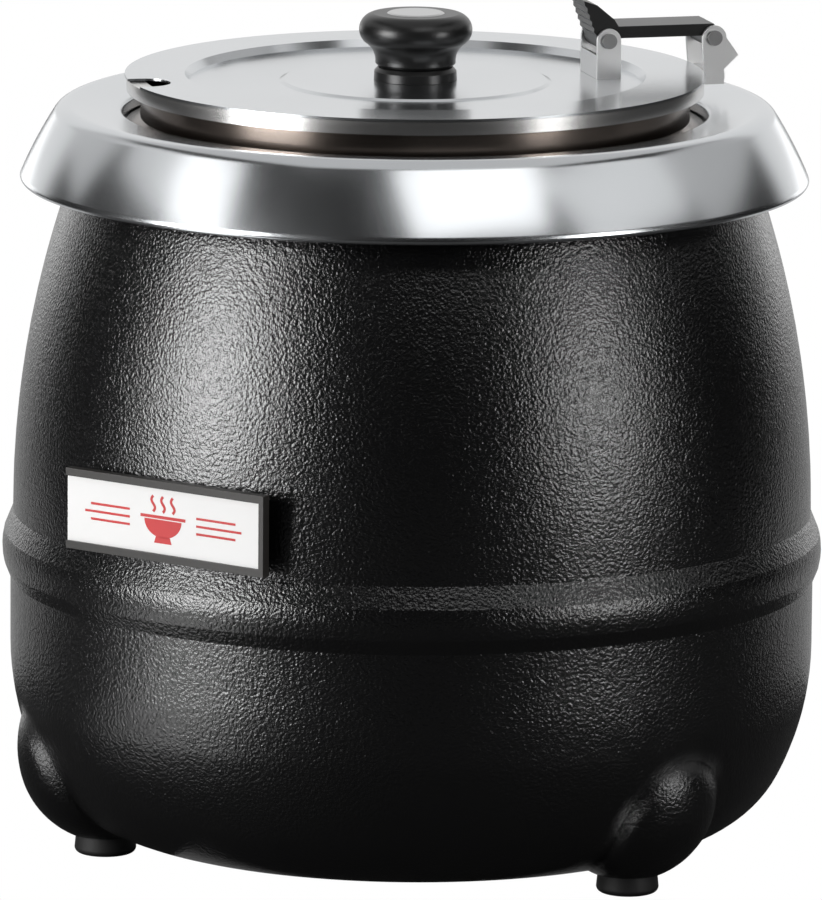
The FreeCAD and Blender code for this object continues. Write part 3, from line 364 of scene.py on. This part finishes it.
def smooth_collar():
    """The collar turned finely, so that its mirror finish shows no facets."""
    hem_inside = (160.2, 282.8)
    hem = (163.4, 282.8)
    hem_middle = (164.673, 283.327)
    hem_top = (165.2, 284.6)
    skirt_middle = (159.0, 297.75)
    shoulder = (151.4, 310.9)
    shoulder_middle = (148.0, 314.1)
    ring = (143.5, 314.9)
    lip = (124.6, 312.6)
    lip_middle = (123.044, 311.956)
    throat = (122.4, 310.4)
    flange = [(122.4, 302.2), (119.9, 302.2), (119.9, 301.0), (123.6, 301.0)]
    ring_back = [(123.6, 310.4), (124.6, 311.4), (143.5, 313.7)]
    skirt_back = [(147.65, 313.08), (150.2, 310.9), (157.8, 297.75)]
    hem_back = [(164.0, 284.6), (163.4, 284.0), (160.2, 284.0)]
    profile = [hem_inside, hem]
    profile += arc(hem, hem_middle, hem_top, 6)
    profile += arc(hem_top, skirt_middle, shoulder, 16)
    profile += arc(shoulder, shoulder_middle, ring, 14)
    profile.append(lip)
    profile += arc(lip, lip_middle, throat, 6)
    profile += flange + ring_back + skirt_back + hem_back
    piece = turned_piece("collar_turned", profile, MATERIALS["polished_steel"])
    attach(piece, "kettle")
    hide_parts("collar")


def plate(outline, thickness):
    """Points and faces of a thin plate. The outline is in local Y and Z, its face looks along +X."""
    count = len(outline)
    points = [(0.0, y, z) for y, z in outline] + [(thickness, y, z) for y, z in outline]
    sides = [(i, (i + 1) % count, count + (i + 1) % count, count + i) for i in range(count)]
    return points, [tuple(reversed(range(count))), tuple(range(count, 2 * count))] + sides


def strip(centre, width):
    """The outline of a band of even width along a line of points."""
    left = []
    right = []
    for i, point in enumerate(centre):
        before = Vector(centre[max(i - 1, 0)])
        after = Vector(centre[min(i + 1, len(centre) - 1)])
        along = (after - before).normalized()
        across = Vector((-along.y, along.x)) * (width / 2)
        left.append(tuple(Vector(point) + across))
        right.append(tuple(Vector(point) - across))
    return right + left[::-1]


def bowl_shape(radius, middle, flatten=0.8, samples=24):
    """The outline of a half round bowl, a little flattened."""
    angles = [math.pi + math.pi * i / samples for i in range(samples + 1)]
    return [(middle[0] + radius * math.cos(a), middle[1] + flatten * radius * math.sin(a)) for a in angles]


def steam_line(start, height, swing, samples=12):
    """One wave that rises from its start."""
    return [(start[0] + swing * math.sin(2 * math.pi * i / samples), start[1] + height * i / samples)
            for i in range(samples + 1)]


def four_sided(low, high, low_half, high_half, middle=0.0):
    """The outline of a bar between two heights with half its width at each, in millimetres."""
    return [((middle - low_half) * MM, low * MM), ((middle + low_half) * MM, low * MM),
            ((middle + high_half) * MM, high * MM), ((middle - high_half) * MM, high * MM)]


def card_shapes():
    """The outlines printed on the card, by name: a bowl with steam and three lines on either side."""
    shapes = {
        "bowl_mark": bowl_shape(9.5 * MM, (0.0, 0.5 * MM)),
        "bowl_foot_mark": four_sided(low=-9.3, high=-6.6, low_half=4.5, high_half=3.6),
        "bowl_lip_mark": four_sided(low=0.9, high=2.2, low_half=11.5, high_half=11.5),
    }
    for i, across in enumerate((-5.0, 0.0, 5.0)):
        line = steam_line((across * MM, 3.6 * MM), height=6.6 * MM, swing=0.9 * MM)
        shapes[f"steam_mark_{i + 1}"] = strip(line, width=1.2 * MM)
    rule_start = 17.0
    rule_half = 0.5
    for side, name in ((-1, "left"), (1, "right")):
        for j, (up, rule_end) in enumerate(((-3.2, 37.0), (0.0, 40.0), (3.2, 37.0))):
            middle = side * (rule_start + rule_end) / 2
            half = (rule_end - rule_start) / 2
            shapes[f"rule_mark_{name}_{j + 1}"] = four_sided(up - rule_half, up + rule_half, half, half, middle)
    return shapes


def draw_card():
    """The drawing on the card's face, in thin ink."""
    low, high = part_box("label_card")
    middle = (Vector(low) + Vector(high)) / 2
    turn = Matrix.Rotation(LABEL_ANGLE, 4, "Z")
    outward = turn @ Vector((1, 0, 0))
    place = Matrix.Translation(middle + outward * (CARD_THICKNESS / 2 + INK_GAP)) @ turn
    for name, outline in card_shapes().items():
        points, faces = plate(outline, CARD_INK)
        piece = mesh_piece(name, points, faces, print_red, place)
        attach(piece, "label_card")


def dial_line(name, face, angle, start, length, width):
    """A line of white ink that runs out from the dial's middle, in degrees and millimetres."""
    outline = strip([(start * MM, 0.0), ((start + length) * MM, 0.0)], width * MM)
    points, faces = plate(outline, DIAL_INK)
    control = Matrix.Translation(Vector((0, 0, CONTROL_HEIGHT))) @ Matrix.Rotation(CONTROL_ANGLE, 4, "Z")
    spin = Matrix.Rotation(math.radians(angle), 4, "X")
    place = control @ Matrix.Translation(Vector((face + INK_GAP, 0, 0))) @ spin
    return mesh_piece(name, points, faces, print_white, place)


def draw_dial():
    """Tick marks round the thermostat's dial and a pointer line on its knob."""
    first_angle, tick_step, tick_count = 225, 27, 11
    for i in range(tick_count):
        angle = first_angle - tick_step * i
        length = 1.2 if i % 5 else 1.8
        piece = dial_line(f"dial_tick_{i + 1}", DIAL_FACE, angle, start=15.0, length=length, width=0.6)
        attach(piece, "kettle")
    piece = dial_line("knob_pointer", KNOB_FACE, first_angle, start=4.0, length=7.0, width=1.2)
    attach(piece, "thermostat_knob")


def glow_material(name, level):
    mat = bpy.data.materials.new(name)
    mat.use_nodes = True
    tree = mat.node_tree
    tree.nodes.clear()
    output = tree.nodes.new("ShaderNodeOutputMaterial")
    glow = tree.nodes.new("ShaderNodeEmission")
    glow.inputs["Strength"].default_value = level
    link(tree, glow.outputs["Emission"], output, "Surface")
    return mat


def floor_material():
    """White to the camera, dark to light and reflections, as the photo's metal shows no white floor."""
    mat, tree, shader = new_material("floor")
    grain = noise(tree, object_coords(tree), scale=6.0, detail=2.0)
    link(tree, ramp(tree, grain, 0.3, 0.7, shade(0.03), shade(0.04)), shader, "Base Color")
    shader.inputs["Roughness"].default_value = 0.8
    glow = tree.nodes.new("ShaderNodeEmission")
    path = tree.nodes.new("ShaderNodeLightPath")
    mix = tree.nodes.new("ShaderNodeMixShader")
    link(tree, path.outputs["Is Camera Ray"], mix, "Fac")
    link(tree, shader.outputs["BSDF"], mix, 1)
    link(tree, glow.outputs["Emission"], mix, 2)
    link(tree, mix.outputs["Shader"], tree.nodes["Material Output"], "Surface")
    return mat


# Glowing panels that face the kettle: azimuth and elevation in degrees, distance, width, height, level
# and lean. Azimuth 0 is the camera's side and grows to the right.
PANELS = {
    "left_low": (-60, 8, 2.4, 1.2, 1.2, 11.5, 0.0),
    "right_low": (54, 8, 2.4, 0.65, 0.9, 8.0, 0.0),
    "left_high": (-74, 37, 2.4, 0.9, 0.8, 1.7, -0.42),
    "left_soft": (-100, 37, 2.4, 0.9, 0.8, 0.75, -0.42),
    "right_high": (21, 48, 2.4, 1.5, 1.0, 1.7, 0.0),
    "right_side": (72, 38, 2.4, 1.5, 1.0, 0.85, 0.0),
    "right_back": (116, 32, 2.6, 1.9, 1.2, 0.5, 0.0),
    "left_back": (-130, 28, 3.0, 1.5, 1.3, 0.6, 0.0),
    "overhead": (180, 80, 2.5, 3.0, 4.0, 0.6, 0.0),
    "left_back_low": (-152, -1, 2.6, 1.0, 0.5, 1.6, 0.0),
    "right_back_low": (152, -1, 2.6, 1.0, 0.5, 1.6, 0.0),
}
# Glowing strips on the floor that run out from the kettle: azimuth, near and far end, width and level.
FLOOR_STRIPS = {
    "left_floor": (-58, 0.28, 1.6, 0.2, 1.6),
    "left_back_floor": (-157, 0.35, 2.6, 0.9, 0.5),
    "right_back_floor": (157, 0.35, 2.6, 0.9, 0.5),
    "under_floor": (0, -0.1, 0.1, 0.2, 0.2),
}
PANEL_CENTRE = Vector((0, 0, 0.2))
FLOOR_HALF = 6.0
FLOOR_GAP = 0.5 * MM


def glow_piece(name, points, level, place):
    """A glowing sheet that lights the kettle and that the camera doesn't see."""
    piece = mesh_piece(name, points, [(0, 1, 2, 3)], glow_material(name, level), place)
    piece.visible_camera = False


def panel(name, azimuth, elevation, distance, width, height, level, lean):
    turn = math.radians(azimuth)
    tilt = math.radians(elevation)
    out = Vector((math.sin(turn) * math.cos(tilt), -math.cos(turn) * math.cos(tilt), math.sin(tilt)))
    facing = out.to_track_quat("Z", "Y").to_matrix().to_4x4()
    half_w, half_h, shift = width / 2, height / 2, lean / 2
    points = [(-shift - half_w, -half_h, 0), (-shift + half_w, -half_h, 0),
              (shift + half_w, half_h, 0), (shift - half_w, half_h, 0)]
    glow_piece(name, points, level, Matrix.Translation(PANEL_CENTRE + out * distance) @ facing)


def floor_strip(name, azimuth, near, far, width, level):
    half = width / 2
    points = [(near, -half, 0), (far, -half, 0), (far, half, 0), (near, half, 0)]
    turn = Matrix.Rotation(math.radians(azimuth - 90), 4, "Z")
    glow_piece(name, points, level, Matrix.Translation(Vector((0, 0, FLOOR_GAP))) @ turn)


def background(tree, level):
    node = tree.nodes.new("ShaderNodeBackground")
    node.inputs["Color"].default_value = (1, 1, 1, 1)
    node.inputs["Strength"].default_value = level
    return node


def backdrop(tree):
    """The white backdrop behind the kettle as metal sees it, dark in every other direction."""
    coords = tree.nodes.new("ShaderNodeTexCoord")
    direction = tree.nodes.new("ShaderNodeSeparateXYZ")
    link(tree, coords.outputs["Generated"], direction, "Vector")
    dark, light = shade(STUDIO_LEVEL), shade(BACKDROP_LEVEL)
    colour = ramp(tree, direction.outputs["Y"], BACKDROP_EDGE[0], BACKDROP_EDGE[1], dark, light)
    node = background(tree, 1.0)
    link(tree, colour, node, "Color")
    return node


def light_world():
    """White to the camera, the backdrop to reflections and the dark studio to all other light."""
    world = bpy.data.worlds.new("studio")
    bpy.context.scene.world = world
    world.use_nodes = True
    tree = world.node_tree
    tree.nodes.clear()
    path = tree.nodes.new("ShaderNodeLightPath")
    mirrored = tree.nodes.new("ShaderNodeMixShader")
    link(tree, path.outputs["Is Glossy Ray"], mirrored, "Fac")
    link(tree, background(tree, STUDIO_LEVEL).outputs["Background"], mirrored, 1)
    link(tree, backdrop(tree).outputs["Background"], mirrored, 2)
    shown = tree.nodes.new("ShaderNodeMixShader")
    link(tree, path.outputs["Is Camera Ray"], shown, "Fac")
    link(tree, mirrored.outputs["Shader"], shown, 1)
    link(tree, background(tree, 1.0).outputs["Background"], shown, 2)
    link(tree, shown.outputs["Shader"], tree.nodes.new("ShaderNodeOutputWorld"), "Surface")


def light_studio():
    light_world()
    half = FLOOR_HALF
    corners = [(-half, -half, 0), (half, -half, 0), (half, half, 0), (-half, half, 0)]
    floor = mesh_piece("floor", corners, [(0, 1, 2, 3)], floor_material())
    floor.location.z = -FLOOR_GAP
    for name, values in PANELS.items():
        panel(name, *values)
    for name, values in FLOOR_STRIPS.items():
        floor_strip(name, *values)


def set_camera():
    data = bpy.data.cameras.new("camera")
    data.sensor_fit = "VERTICAL"
    data.sensor_height = CAMERA_SENSOR
    data.lens = CAMERA_LENS
    data.clip_end = CAMERA_REACH
    camera = bpy.data.objects.new("camera", data)
    bpy.context.collection.objects.link(camera)
    facing = (CAMERA_PLACE - CAMERA_TARGET).to_track_quat("Z", "Y").to_matrix().to_4x4()
    roll = Matrix.Rotation(CAMERA_ROLL, 4, "Z")
    camera.matrix_world = Matrix.Translation(CAMERA_PLACE) @ facing @ roll
    bpy.context.scene.camera = camera


paint_nodes()
smooth_collar()
draw_card()
draw_dial()
light_studio()
set_camera()
bpy.context.scene.view_settings.view_transform = "Standard"
